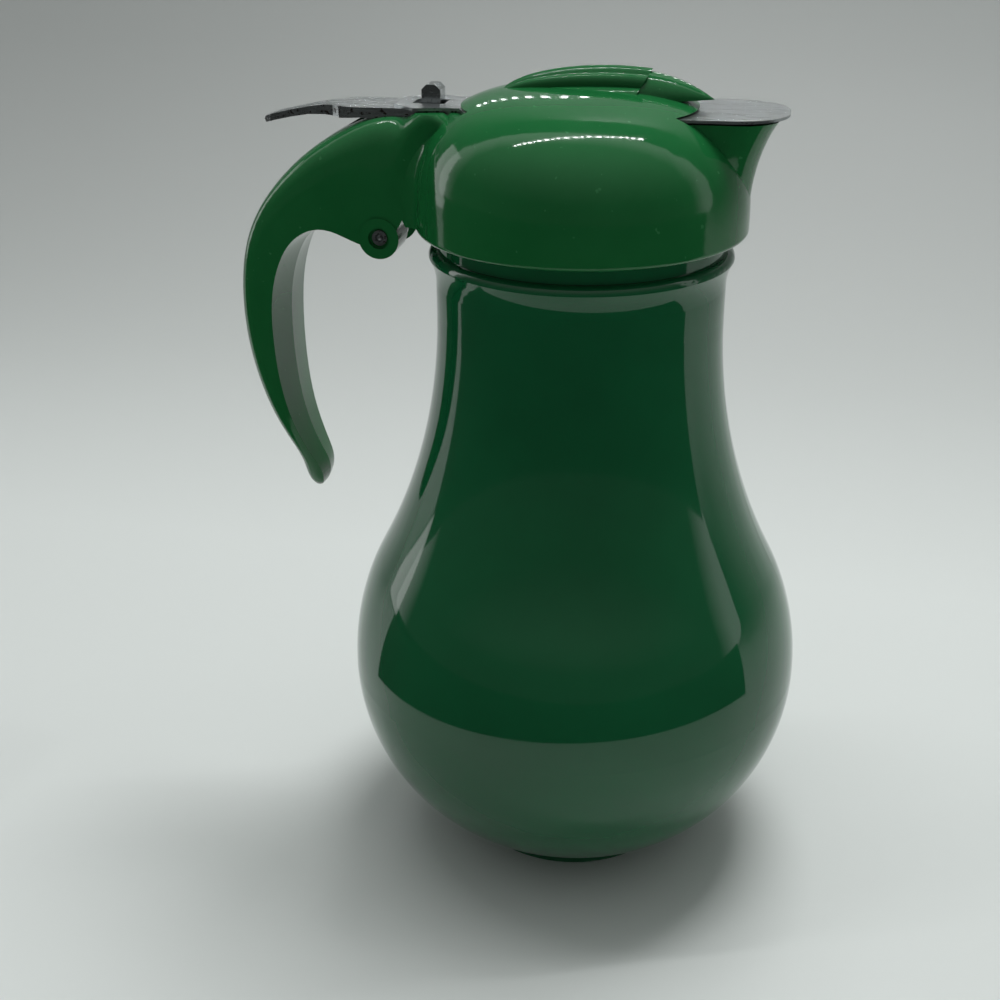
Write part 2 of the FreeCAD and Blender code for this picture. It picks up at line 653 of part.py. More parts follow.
def make_top():
    """The moulded top: dome, spout, fin and open handle in one solid, hollow underneath."""
    dome = feature("dome", dome_solid())
    handle = feature("handle", Part.makeLoft([handle_section(item) for item in HANDLE_STATIONS], True))
    near_root = feature("near_root", root_blend(-1))
    far_root = feature("far_root", root_blend(1))
    spout = feature("spout", spout_solid(SPOUT_LEVELS, 0, size("hollow_core") - CHANNEL_SHELF, 0))
    half = cell("handle_half_width")
    boss = cylinder(
        "boss",
        cell("boss_radius"),
        f"2 * ({half} + {BOSS_PROUD})",
        (cell("pivot_x"), f"0 - {half} - {BOSS_PROUD}", cell("pivot_z")),
        ACROSS,
    )
    solid = combine(
        "Part::MultiFuse", "top_solid", dome, handle, near_root, far_root, spout, make_fin(), boss
    )

    rim = cell("rim_height")
    bottom = cell("skirt_bottom")
    bore = cylinder(
        "skirt_bore",
        cell("skirt_bore"),
        f"{rim} - {bottom} + {OVERRUN}",
        ("0", "0", f"{bottom} - {OVERRUN}"),
    )
    bend = doc.addObject("Part::Torus", "hollow_bend")
    bend.Angle1 = -180
    bend.Angle2 = 180
    bend.Angle3 = 360
    bend.setExpression("Radius2", cell("hollow_bend"))
    bend.setExpression("Radius1", cell("hollow_core"))
    bend.setExpression("Placement.Base.z", f"{cell('hollow_roof')} - {cell('hollow_bend')}")
    wide = cylinder(
        "hollow_wide",
        cell("dome_bore"),
        f"{cell('hollow_roof')} - {cell('hollow_bend')} - {rim}",
        ("0", "0", rim),
    )
    tall = cylinder("hollow_tall", cell("hollow_core"), f"{cell('hollow_roof')} - {rim}", ("0", "0", rim))
    shelf = size("dome_bore") - CHANNEL_SHELF
    channel = feature("channel", spout_solid(SPOUT_LEVELS[1:], size("spout_wall"), shelf, 0.2))
    blade_slot = box(
        "blade_slot",
        (f"0 - {cell('skirt_radius')} - {SLOT_OVERRUN}", f"0 - {cell('slot_side')}", cell("slot_bottom")),
        (f"{cell('skirt_radius')} + {SLOT_OVERRUN}", cell("slot_side"), cell("slot_top")),
    )
    tongue_slot = box(
        "tongue_slot",
        (
            f"0 - {cell('skirt_radius')} - {SLOT_OVERRUN}",
            f"0 - {cell('tongue_side')}",
            f"{cell('tongue_bottom')} - {cell('slide_gap')}",
        ),
        (f"{TONGUE_SLOT_END} - {cell('skirt_radius')}", cell("tongue_side"), cell("slot_top")),
    )
    pin_hole = cylinder(
        "pin_hole",
        cell("pin_radius"),
        f"2 * ({half} + {OVERRUN})",
        (cell("pivot_x"), f"0 - {half} - {OVERRUN}", cell("pivot_z")),
        ACROSS,
    )
    sinks = []
    for name, start in (("near_sink", f"0 - {half} - {OVERRUN}"), ("far_sink", f"{half} - {SINK_DEPTH}")):
        base = (cell("pivot_x"), start, cell("pivot_z"))
        radius = f"{cell('pin_radius')} + {SINK_MARGIN}"
        sinks.append(cylinder(name, radius, f"{OVERRUN} + {SINK_DEPTH}", base, ACROSS))
    cuts = [bore, bend, wide, tall, channel, blade_slot, tongue_slot, lever_slot(), pin_hole]
    top = combine("Part::Cut", "top_cut", solid, combine("Part::MultiFuse", "top_cuts", *cuts, *sinks))
    top.Label = "top"
    doc.recompute()
    if len(top.Shape.Solids) != 1:
        raise RuntimeError("the top is in pieces")
    if top.Shape.Volume > 0.8 * solid.Shape.Volume:
        raise RuntimeError("the top is not hollow")
    return top


def outline(sketch, points):
    """A closed run of straight edges whose corners are fixed where they are drawn."""
    for start, end in zip(points, points[1:] + points[:1]):
        index = sketch.addGeometry(line(start, end))
        sketch.addConstraint(Sketcher.Constraint("Block", index))


def pad(body, sketch, name, depth, both_ways=False):
    """Thicken the sketch by a depth given as an expression, to one side or evenly to both."""
    feature_pad = body.newObject("PartDesign::Pad", name)
    feature_pad.Profile = sketch
    feature_pad.setExpression("Length", depth)
    if both_ways:
        feature_pad.SideType = "Symmetric"
    doc.recompute()
    return feature_pad


def pocket_through(body, sketch, name):
    """Cut the sketch right through the body, both ways, and check that it cut something."""
    before = body.Shape.Volume
    cut = body.newObject("PartDesign::Pocket", name)
    cut.Profile = sketch
    cut.Type = "ThroughAll"
    cut.SideType = "Symmetric"
    doc.recompute()
    if not body.Shape.Volume < before:
        raise RuntimeError(f"{name} cut nothing")
    return cut


POST_BACK = -2.8
BLADE_SHOULDER = -10.3
PLATE_REACH = 3.1
PLATE_RUN = [(-8.5, 5.9), (-6.3, 5.8), (-0.9, 7.0), (PLATE_REACH, 3.6)]


def behind(distance):
    """The x of a place this far behind the skirt."""
    return -size("skirt_radius") - distance


def post_slot(body, name, rear_room, front_room):
    """Cut the slot that the post stands in, with its own room behind and ahead."""
    hole = new_sketch(body, name, "XY_Plane")
    side = size("post_side")
    center = behind(POST_BACK)
    rear = center - size("post_length") / 2 - rear_room
    front = center + size("post_length") / 2 + front_room
    outline(hole, [(rear, -side), (front, -side), (front, side), (rear, side)])
    pocket_through(body, hole, f"{name}_cut")


def make_blade():
    """The thin cut-off blade: round-cornered at the spout, stepped in to a plate at the rear."""
    body = new_body("blade")
    plan = new_sketch(body, "blade_plan", "XY_Plane")
    plan.setExpression("AttachmentOffset.Base.z", cell("blade_bottom"))
    half = size("blade_half_width")
    tip = size("blade_tip")
    corner = size("blade_corner")
    rear = [(behind(BLADE_SHOULDER), half)] + [(behind(back), y) for back, y in PLATE_RUN]
    run = rear + [(x, -y) for x, y in reversed(rear)]
    for start, end in zip(run, run[1:]):
        index = plan.addGeometry(line(start, end))
        plan.addConstraint(Sketcher.Constraint("Block", index))
    near = plan.addGeometry(line(run[-1], (tip - corner, -half)))
    plan.addGeometry(arc(tip - corner, -half + corner, corner, -90, 0))
    end = plan.addGeometry(line((tip, -half + corner), (tip, half - corner)))
    plan.addGeometry(arc(tip - corner, half - corner, corner, 0, 90))
    far = plan.addGeometry(line((tip - corner, half), run[0]))
    join = Sketcher.Constraint
    plan.addConstraint(join("Coincident", near - 1, 2, near, 1))
    plan.addConstraint(join("Tangent", near, 2, near + 1, 1))
    plan.addConstraint(join("Tangent", near + 1, 2, end, 1))
    plan.addConstraint(join("Tangent", end, 2, end + 1, 1))
    plan.addConstraint(join("Tangent", end + 1, 2, far, 1))
    plan.addConstraint(join("Coincident", far, 2, 0, 1))
    plan.addConstraint(join("Horizontal", near))
    plan.addConstraint(join("Horizontal", far))
    plan.addConstraint(join("Equal", near + 1, end + 1))
    drive(plan, "Radius", near + 1, expression=cell("blade_corner"))
    drive(plan, "DistanceX", end, 1, expression=cell("blade_tip"))
    pad(body, plan, "blade_sheet", cell("blade_sheet"))
    post_slot(body, "blade_post", 1.5, 0.7)
    return body


# Along the tongue from its root to its tip: how far behind the skirt, the drop of its upper
# side, and its thickness there as a share of the sheet's.
TONGUE_RUN = [
    (-13.1, 0.0, 1.0),
    (9.0, 0.0, 1.0),
    (12.2, 0.0, 1.12),
    (15.5, 0.15, 0.94),
    (18.6, 0.65, 0.74),
    (21.8, 1.3, 0.7),
    (24.6, 1.95, 0.68),
    (26.6, 2.6, 0.62),
]
TONGUE_SHOULDER = 10.5
TONGUE_EDGE = [(12.5, 4.4), (13.9, 3.1), (16.4, 2.4), (20.4, 1.8), (25.6, 1.5), (26.8, 0.8)]
TONGUE_NOSE = 0.3


def make_tongue():
    """The thumb tongue: a thicker strip under the blade that narrows to a drooping tab."""
    body = new_body("thumb_tongue")
    profile = new_sketch(body, "tongue_profile", "XZ_Plane")
    level = size("blade_bottom")
    top = [(behind(back), level - drop) for back, drop, _ in TONGUE_RUN]
    thick = [share * size("tongue_sheet") for _, _, share in TONGUE_RUN]
    under = [(x, z - depth) for (x, z), depth in zip(top, thick)]
    nose = (top[-1][0] - TONGUE_NOSE, top[-1][1] - thick[-1] / 2)
    outline(profile, top + [nose] + list(reversed(under)))
    pad(body, profile, "tongue_strip", f"2 * {cell('tongue_half_width')}", both_ways=True)
    sides = new_sketch(body, "tongue_sides", "XY_Plane")
    half = size("tongue_half_width")
    shoulder = behind(TONGUE_SHOULDER)
    past_tip = behind(TONGUE_EDGE[-1][0]) - OVERRUN
    past_side = half + OVERRUN
    edge = [(shoulder, half)] + [(behind(back), y) for back, y in TONGUE_EDGE]
    outer = [(past_tip, edge[-1][1]), (past_tip, past_side), (shoulder, past_side)]
    for sign in (1, -1):
        outline(sides, [(x, sign * y) for x, y in edge + outer])
    pocket_through(body, sides, "tongue_tab")
    post_slot(body, "tongue_post", 1.0, 1.7)
    return body


POST_BEVEL = 0.8
POST_FOOT = 3.9
ARM_TOP = 3.3
ARM_SHOULDER = 4.5
ARM_LEAN = 38


def lever_side():
    """How far the lever's middle plane stands to the near side, so that the spring fits beside it."""
    return size("lever_slot") / 2 - size("slide_gap") - size("lever_thickness") / 2


def make_lever():
    """The pivoting lever: an eye on the pin, a leaning arm and the post that moves the blade."""
    body = new_body("lever")
    foot = size("pivot_z")
    pivot = size("pivot_x")
    under = size("tongue_bottom")
    rear = behind(POST_BACK) - size("post_length") / 2
    front = behind(POST_BACK) + size("post_length") / 2
    top = size("post_top")
    offset = lever_side() - size("lever_thickness") / 2
    arm = new_sketch(body, "arm_profile", "XZ_Plane", offset=offset)
    eye = size("eye_radius")
    lean = math.radians(ARM_LEAN)
    left = (pivot - eye * math.cos(lean), foot + eye * math.sin(lean))
    right = (pivot + eye * math.cos(lean), foot - eye * math.sin(lean))
    shoulder = (front, under - ARM_SHOULDER)
    outline(arm, [left, right, shoulder, (front, under - ARM_TOP), (rear, under - ARM_TOP)])
    pad(body, arm, "arm", cell("lever_thickness"))
    ring = new_sketch(body, "eye_profile", "XZ_Plane", offset=offset)
    index = ring.addGeometry(Part.Circle(FreeCAD.Vector(pivot, foot, 0), FreeCAD.Vector(0, 0, 1), eye))
    drive(ring, "Radius", index, expression=cell("eye_radius"))
    drive(ring, "DistanceX", index, 3, expression=cell("pivot_x"))
    drive(ring, "DistanceY", index, 3, expression=cell("pivot_z"))
    pad(body, ring, "eye", cell("lever_thickness"))
    post = new_sketch(body, "post_profile", "XZ_Plane")
    outline(
        post,
        [
            (rear, under - POST_FOOT),
            (front, under - POST_FOOT),
            (front, top - POST_BEVEL),
            (front - POST_BEVEL, top),
            (rear + POST_BEVEL, top),
            (rear, top - POST_BEVEL),
        ],
    )
    pad(body, post, "post", f"2 * {cell('post_half_width')}", both_ways=True)
    bore = new_sketch(body, "eye_bore", "XZ_Plane")
    center = FreeCAD.Vector(pivot, foot, 0)
    index = bore.addGeometry(Part.Circle(center, FreeCAD.Vector(0, 0, 1), size("eye_bore")))
    drive(bore, "Radius", index, expression=cell("eye_bore"))
    drive(bore, "DistanceX", index, 3, expression=cell("pivot_x"))
    drive(bore, "DistanceY", index, 3, expression=cell("pivot_z"))
    pocket_through(body, bore, "pin_bore")
    return body


DIMPLE_RADIUS = 0.7


def make_pin():
    """The rivet pin across the boss, with a dimple in each end."""
    half = cell("pin_end")
    shank = cylinder(
        "pin_shank",
        cell("pin_radius"),
        f"2 * {half}",
        (cell("pivot_x"), f"0 - {half}", cell("pivot_z")),
        ACROSS,
    )
    dimples = []
    for name, place in (("near_dimple", f"0 - {half}"), ("far_dimple", half)):
        ball = doc.addObject("Part::Sphere", name)
        ball.Radius = DIMPLE_RADIUS
        for axis, value in zip("xyz", (cell("pivot_x"), place, cell("pivot_z"))):
            ball.setExpression(f"Placement.Base.{axis}", value)
        dimples.append(ball)
    pin = combine("Part::Cut", "pin_cut", shank, combine("Part::MultiFuse", "dimples", *dimples))
    pin.Label = "pin"
    return pin


SPRING_TURNS = 3
COIL_ROOM = 0.45
COIL_START = 0.4
COIL_END_ROOM = 0.05
FIXED_LEG = (4.3, 2.6)
MOVING_LEG = (0.7, 12.0)


def make_spring():
    """The torsion spring round the pin: a coil with one leg on the dome and one by the lever."""
    pivot = FreeCAD.Vector(size("pivot_x"), 0, size("pivot_z"))
    thick = size("spring_wire")
    radius = size("pin_radius") + COIL_ROOM + thick
    room = size("lever_slot") / 2 - COIL_END_ROOM - thick - COIL_START
    steps = 16
    coil = []
    for i in range(steps * SPRING_TURNS + 1):
        turn = 2 * math.pi * i / steps
        offset = FreeCAD.Vector(math.cos(turn), 0, math.sin(turn)) * radius
        offset.y = COIL_START + room * i / (steps * SPRING_TURNS)
        coil.append(pivot + offset)
    wire = Part.BSplineCurve()
    wire.interpolate(coil)
    path = Part.Wire(wire.toShape())
    tangent = wire.tangent(wire.FirstParameter)[0]
    ring = Part.Wire(Part.makeCircle(thick, coil[0], tangent))
    pieces = [path.makePipeShell([ring], True, False)]
    for start, (ahead, up) in ((coil[0], FIXED_LEG), (coil[-1], MOVING_LEG)):
        end = FreeCAD.Vector(pivot.x + ahead, start.y, pivot.z + up)
        run = end - start
        pieces.append(Part.makeCylinder(thick, run.Length, start, run))
        pieces.append(Part.makeSphere(thick, start))
        pieces.append(Part.makeSphere(thick, end))
    spring = feature("spring_wire", pieces[0].fuse(pieces[1:]))
    spring.Label = "spring"
    return spring


nodes = [make_jar(), make_top(), make_blade(), make_tongue(), make_lever(), make_pin(), make_spring()]
doc.recompute()

for item in doc.Objects:
    if "Invalid" in item.State or "Error" in item.State:
        raise RuntimeError(f"{item.Name}: {item.State}")
os.makedirs("parts", exist_ok=True)
for node in nodes:
    shape = node.Shape
    if shape.isNull() or not shape.isValid() or len(shape.Solids) != 1:
        raise RuntimeError(f"{node.Label} is not one valid solid")
    shape.exportStep(f"parts/{node.Label}.step")
    print(node.Label, round(shape.Volume, 1), shape.BoundBox)
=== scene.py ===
"""Syrup pitcher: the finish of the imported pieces, a pale tabletop, soft lamps and a camera."""
import math

import bmesh
import bpy
from mathutils import Matrix, Vector

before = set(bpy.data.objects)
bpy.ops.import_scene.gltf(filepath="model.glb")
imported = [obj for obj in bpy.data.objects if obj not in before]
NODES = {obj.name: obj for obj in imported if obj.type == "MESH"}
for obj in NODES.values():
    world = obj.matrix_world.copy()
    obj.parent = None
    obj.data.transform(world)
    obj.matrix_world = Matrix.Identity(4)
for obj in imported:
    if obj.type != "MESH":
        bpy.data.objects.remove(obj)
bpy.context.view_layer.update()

bl_info = {
    "name": "Syrup Pitcher",
    "version": (1, 0, 0),
    "blender": (4, 5, 0),
    "location": "3D View > Sidebar > Pitcher",
    "description": "Finishes the glazed jar, its moulded top and the sliding blade, and sets the stage",
    "category": "Object",
}

# Dark card, a painted dark reflection of the shade and dark room in front of the jar: its round hole,
# outer radius, degrees past a half ring at each end, and middle.
CARD_HOLE = 0.135
CARD_RADIUS = 2.4
CARD_REACH = 9.0
CARD_MIDDLE = (0.02, -0.02, 0.001)
CARD_COLOUR = (0.012, 0.014, 0.013)
CARD_STEPS = 28

# Backdrop: steps of its curve, roughness, where the painted shade on its colour starts, and how dark
# that painted shade ends.
BEND_STEPS = 24
BACKDROP_ROUGHNESS = 0.45
PAINTED_SHADE_START = 0.1
PAINTED_SHADE_SHARE = 0.6

# Broad lamps: place, target, width, depth and watts.
OVERHEAD_LAMP = ((0.1, 0.25, 0.85), (0.03, 0.0, 0.0), 0.4, 0.3, 4.5)
SIDE_WINDOW = ((-0.75, 0.2, 0.25), (0.0, 0.0, 0.09), 0.25, 0.5, 0.6)

# Rows of small lamps: both ends, and then count, side and watts of each lamp.
ROW_TARGET = (0.0, 0.0, 0.14)
UPPER_ROW_LEFT = (-0.314, -0.046)
UPPER_ROW_RIGHT = (0.228, 0.154)
UPPER_ROW_LAMPS = (20, 0.012, 0.05)
BACK_ROW_LEFT = -0.2
BACK_ROW_RIGHT = 0.11
BACK_ROW_HEIGHT = 0.31
BACK_ROW_LAMPS = (18, 0.006, 0.005)
WALL_CLEARANCE = 0.02

# Camera: place in metres, and its turns in degrees.
CAMERA_PLACE = (0.0327, -0.2328, 0.1801)
CAMERA_YAW = 11.44
CAMERA_TILT = 64.46
CAMERA_ROLL = -0.351


class PitcherColours(bpy.types.PropertyGroup):
    """Colours of the pitcher's own materials."""

    glaze: bpy.props.FloatVectorProperty(
        name="Glaze",
        description="Body colour of the jar's glaze",
        subtype="COLOR",
        default=(0.006, 0.092, 0.033),
    )
    plastic: bpy.props.FloatVectorProperty(
        name="Top plastic",
        description="Colour of the moulded top",
        subtype="COLOR",
        default=(0.008, 0.112, 0.029),
    )
    plating: bpy.props.FloatVectorProperty(
        name="Plating",
        description="Colour of the blade's dull plating",
        subtype="COLOR",
        default=(0.52, 0.55, 0.56),
    )
    rust: bpy.props.FloatVectorProperty(
        name="Rust",
        description="Colour of the stains on the rivet and in the pits",
        subtype="COLOR",
        default=(0.045, 0.022, 0.012),
    )
    tabletop: bpy.props.FloatVectorProperty(
        name="Tabletop",
        description="Colour of the pale tabletop and the wall that it curves into",
        subtype="COLOR",
        default=(0.62, 0.65, 0.637),
    )


class PitcherStage(bpy.types.PropertyGroup):
    """Sizes of the stage around the pitcher."""

    floor_half: bpy.props.FloatProperty(
        name="Tabletop half width",
        description="Half the width of the tabletop",
        unit="LENGTH",
        default=1.6,
    )
    wall_distance: bpy.props.FloatProperty(
        name="Wall distance",
        description="How far behind the jar the wall stands",
        unit="LENGTH",
        default=0.42,
    )
    bend_radius: bpy.props.FloatProperty(
        name="Bend radius",
        description="Radius of the curve from tabletop to wall",
        unit="LENGTH",
        default=0.2,
    )
    lamp_height: bpy.props.FloatProperty(
        name="Lamp height",
        description="Height of the overhead lamps above the tabletop",
        unit="LENGTH",
        default=0.7,
    )
    lens: bpy.props.FloatProperty(
        name="Lens",
        description="Focal length of the camera",
        unit="CAMERA",
        default=50.4,
    )


def group_socket(group, name, kind, default=None, output=False):
    """Add one named socket to a shader node group."""
    side = "OUTPUT" if output else "INPUT"
    item = group.interface.new_socket(name=name, in_out=side, socket_type=f"NodeSocket{kind}")
    if default is not None:
        item.default_value = default


def noise(tree, vector, scale, detail=2.0):
    """A noise texture on a vector."""
    node = tree.nodes.new("ShaderNodeTexNoise")
    node.inputs["Scale"].default_value = scale
    node.inputs["Detail"].default_value = detail
    tree.links.new(vector, node.inputs["Vector"])
    return node.outputs["Fac"]


def remap(tree, value, low, high, to_low, to_high):
    """Map a value from one range to another, clamped."""
    node = tree.nodes.new("ShaderNodeMapRange")
    for name, number in (("From Min", low), ("From Max", high), ("To Min", to_low), ("To Max", to_high)):
        node.inputs[name].default_value = number
    tree.links.new(value, node.inputs["Value"])
    return node.outputs["Result"]


def blend_colours(tree, factor, first, second):
    """Mix two colours, each a socket or a tuple, by a factor socket."""
    node = tree.nodes.new("ShaderNodeMix")
    node.data_type = "RGBA"
    tree.links.new(factor, node.inputs["Factor"])
    for name, colour in (("A", first), ("B", second)):
        socket = [item for item in node.inputs if item.name == name and item.type == "RGBA"][0]
        if isinstance(colour, bpy.types.NodeSocket):
            tree.links.new(colour, socket)
        else:
            socket.default_value = (*colour, 1.0)
    return [item for item in node.outputs if item.type == "RGBA"][0]


def handling_group():
    """Marks of use: a fine film and sparse hairlines, as masks between 0 and 1."""
    group = bpy.data.node_groups.new("marks_of_use", "ShaderNodeTree")
    group_socket(group, "Vector", "Vector")
    group_socket(group, "Film Scale", "Float", 60.0)
    group_socket(group, "Film", "Float", output=True)
    group_socket(group, "Hairlines", "Float", output=True)
    start = group.nodes.new("NodeGroupInput")
    end = group.nodes.new("NodeGroupOutput")
    film = group.nodes.new("ShaderNodeTexNoise")
    film.inputs["Detail"].default_value = 4.0
    group.links.new(start.outputs["Vector"], film.inputs["Vector"])
    group.links.new(start.outputs["Film Scale"], film.inputs["Scale"])
    group.links.new(remap(group, film.outputs["Fac"], 0.35, 0.7, 0.0, 1.0), end.inputs["Film"])
    stretch = group.nodes.new("ShaderNodeMapping")
    stretch.inputs["Scale"].default_value = (900.0, 60.0, 400.0)
    stretch.inputs["Rotation"].default_value = (0.3, 0.5, 0.7)
    group.links.new(start.outputs["Vector"], stretch.inputs["Vector"])
    lines = noise(group, stretch.outputs["Vector"], 1.0, 1.0)
    group.links.new(remap(group, lines, 0.70, 0.76, 0.0, 1.0), end.inputs["Hairlines"])


def new_material(name):
    """A material with its Principled shader and Object coordinates."""
    material = bpy.data.materials.new(name)
    material.use_nodes = True
    tree = material.node_tree
    shader = tree.nodes["Principled BSDF"]
    place = tree.nodes.new("ShaderNodeTexCoord").outputs["Object"]
    return material, tree, shader, place


def use_marks(tree, place, film_scale):
    """Place the marks group in a material with its own scale."""
    node = tree.nodes.new("ShaderNodeGroup")
    node.node_tree = bpy.data.node_groups["marks_of_use"]
    node.inputs["Film Scale"].default_value = film_scale
    tree.links.new(place, node.inputs["Vector"])
    return node


def bump(tree, shader, height, strength, distance):
    """Feed a height through a Bump node into the shader's normal."""
    node = tree.nodes.new("ShaderNodeBump")
    node.inputs["Strength"].default_value = strength
    node.inputs["Distance"].default_value = distance
    tree.links.new(height, node.inputs["Height"])
    tree.links.new(node.outputs["Normal"], shader.inputs["Normal"])


def glaze_material(colour):
    """Deep glossy glaze, a little uneven in depth, over a faintly wavy body."""
    material, tree, shader, place = new_material("deep_green_glaze")
    deep = tuple(part * 0.86 for part in colour)
    pale = tuple(part * 1.16 for part in colour)
    mottle = remap(tree, noise(tree, place, 28.0, 3.0), 0.3, 0.7, 0.0, 1.0)
    tree.links.new(blend_colours(tree, mottle, deep, pale), shader.inputs["Base Color"])
    marks = use_marks(tree, place, 45.0)
    rough = remap(tree, marks.outputs["Film"], 0.0, 1.0, 0.035, 0.075)
    tree.links.new(rough, shader.inputs["Roughness"])
    shader.inputs["IOR"].default_value = 1.5
    bump(tree, shader, noise(tree, place, 35.0, 1.0), 0.1, 0.0008)
    return material


def plastic_material(colour):
    """Moulded plastic, polished by handling, with a fine film, specks and hairlines."""
    material, tree, shader, place = new_material("moulded_green_plastic")
    marks = use_marks(tree, place, 80.0)
    worn = tuple(part * 1.1 + 0.002 for part in colour)
    film = blend_colours(tree, marks.outputs["Film"], colour, worn)
    speck = remap(tree, noise(tree, place, 900.0, 1.0), 0.74, 0.78, 0.0, 0.6)
    dusty = tuple(part * 1.6 + 0.03 for part in colour)
    tree.links.new(blend_colours(tree, speck, film, dusty), shader.inputs["Base Color"])
    rough = remap(tree, marks.outputs["Film"], 0.0, 1.0, 0.06, 0.11)
    tree.links.new(rough, shader.inputs["Roughness"])
    shader.inputs["IOR"].default_value = 1.42
    bump(tree, shader, marks.outputs["Hairlines"], 0.05, 0.0001)
    return material


def steel_material(name, colour, rough_low, rough_high, pits, stain):
    """Plated steel with drawn lines along X, and pits that gather on its narrow sides."""
    material, tree, shader, place = new_material(name)
    shader.inputs["Metallic"].default_value = 1.0
    stretch = tree.nodes.new("ShaderNodeMapping")
    stretch.inputs["Scale"].default_value = (120.0, 4000.0, 4000.0)
    tree.links.new(place, stretch.inputs["Vector"])
    drawn = noise(tree, stretch.outputs["Vector"], 1.0, 2.0)
    marks = use_marks(tree, place, 350.0)
    rough = remap(tree, drawn, 0.3, 0.7, rough_low, rough_high)
    tree.links.new(rough, shader.inputs["Roughness"])
    facing = tree.nodes.new("ShaderNodeSeparateXYZ")
    tree.links.new(tree.nodes["Texture Coordinate"].outputs["Normal"], facing.inputs[0])
    steep = tree.nodes.new("ShaderNodeMath")
    steep.operation = "ABSOLUTE"
    tree.links.new(facing.outputs["Z"], steep.inputs[0])
    edge = remap(tree, steep.outputs[0], 0.2, 0.8, 1.0, 0.25)
    pitted = remap(tree, noise(tree, place, 1500.0, 3.0), 0.56, 0.64, 0.0, pits)
    spread = tree.nodes.new("ShaderNodeMath")
    spread.operation = "MULTIPLY"
    tree.links.new(pitted, spread.inputs[0])
    tree.links.new(edge, spread.inputs[1])
    film = blend_colours(tree, marks.outputs["Film"], colour, tuple(part * 0.88 for part in colour))
    tree.links.new(blend_colours(tree, spread.outputs[0], film, stain), shader.inputs["Base Color"])
    bump(tree, shader, pitted, 0.25, 0.0001)
    return material


def dress(node, material):
    """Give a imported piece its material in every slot."""
    mesh = NODES[node].data
    mesh.materials.clear()
    mesh.materials.append(material)


class PITCHER_OT_jar(bpy.types.Operator):
    """Glaze the jar"""

    bl_idname = "pitcher.jar"
    bl_label = "Glaze the jar"

    def execute(self, context):
        dress("jar", glaze_material(tuple(context.scene.pitcher_colours.glaze)))
        return {"FINISHED"}


class PITCHER_OT_top(bpy.types.Operator):
    """Finish the moulded top"""

    bl_idname = "pitcher.top"
    bl_label = "Finish the top"

    def execute(self, context):
        dress("top", plastic_material(tuple(context.scene.pitcher_colours.plastic)))
        return {"FINISHED"}


class PITCHER_OT_metal(bpy.types.Operator):
    """Plate the blade, tongue, lever, pin and spring"""

    bl_idname = "pitcher.metal"
    bl_label = "Plate the metal"

    def execute(self, context):
        colours = context.scene.pitcher_colours
        plating = tuple(colours.plating)
        rust = tuple(colours.rust)
        dull = tuple(part * 0.6 for part in plating)
        dress("blade", steel_material("dull_blade_plating", plating, 0.26, 0.34, 0.3, dull))
        dress("thumb_tongue", steel_material("worn_tongue_plating", plating, 0.22, 0.36, 0.9, rust))
        dress("lever", steel_material("bright_lever_plating", plating, 0.08, 0.2, 0.6, rust))
        dress("pin", steel_material("rivet_steel", dull, 0.3, 0.5, 1.0, rust))
        dress("spring", steel_material("spring_wire_steel", dull, 0.3, 0.4, 0.6, rust))
        return {"FINISHED"}


def plain_material(name, colour, roughness):
    """A stage material with a faint mottle."""
    material, tree, shader, place = new_material(name)
    mottle = remap(tree, noise(tree, place, 6.0, 3.0), 0.3, 0.7, 0.0, 1.0)
    low = tuple(part * 0.985 for part in colour)
    tree.links.new(blend_colours(tree, mottle, low, colour), shader.inputs["Base Color"])
    shader.inputs["Roughness"].default_value = roughness
    return material


def backdrop_material(stage, colour):
    """The pale sheet, its colour darkened towards the wall as a painted shade for the light falling off.
    """
    material, tree, shader, place = new_material("pale_tabletop")
    ways = tree.nodes.new("ShaderNodeSeparateXYZ")
    tree.links.new(place, ways.inputs[0])
    # Painted shade: the base colour darkens with distance behind the jar, up to the wall.
    shade_towards_wall = remap(tree, ways.outputs["Y"], PAINTED_SHADE_START, stage.wall_distance - 0.03, 0.0, 1.0)
    painted_shade_colour = tuple(part * PAINTED_SHADE_SHARE for part in colour)
    tree.links.new(blend_colours(tree, shade_towards_wall, colour, painted_shade_colour), shader.inputs["Base Color"])
    shader.inputs["Roughness"].default_value = BACKDROP_ROUGHNESS
    return material


def make_backdrop(stage, colours):
    """One sheet: the tabletop, a curve and the wall behind."""
    mesh = bpy.data.meshes.new("tabletop_and_wall")
    sheet = bmesh.new()
    start = sheet.verts.new((-stage.floor_half, -stage.floor_half, 0.0))
    bend_start = stage.wall_distance - stage.bend_radius
    out = bmesh.ops.extrude_vert_indiv(sheet, verts=[start])
    corner = out["verts"][0]
    bmesh.ops.translate(sheet, verts=[corner], vec=(0.0, stage.floor_half + bend_start, 0.0))
    center = Vector((-stage.floor_half, bend_start, stage.bend_radius))
    turned = bmesh.ops.spin(
        sheet, geom=[corner], cent=center, axis=(1.0, 0.0, 0.0), angle=math.pi / 2, steps=BEND_STEPS
    )
    last = [item for item in turned["geom_last"] if isinstance(item, bmesh.types.BMVert)]
    out = bmesh.ops.extrude_vert_indiv(sheet, verts=last)
    bmesh.ops.translate(sheet, verts=out["verts"], vec=(0.0, 0.0, stage.floor_half))
    bmesh.ops.remove_doubles(sheet, verts=sheet.verts[:], dist=1e-6)
    wide = bmesh.ops.extrude_edge_only(sheet, edges=sheet.edges[:])
    moved = [item for item in wide["geom"] if isinstance(item, bmesh.types.BMVert)]
    bmesh.ops.translate(sheet, verts=moved, vec=(2 * stage.floor_half, 0.0, 0.0))
    bmesh.ops.recalc_face_normals(sheet, faces=sheet.faces[:])
    for face in sheet.faces:
        face.smooth = True
    sheet.to_mesh(mesh)
    sheet.free()
    mesh.materials.append(backdrop_material(stage, tuple(colours.tabletop)))
    item = bpy.data.objects.new("tabletop_and_wall", mesh)
    bpy.context.scene.collection.objects.link(item)


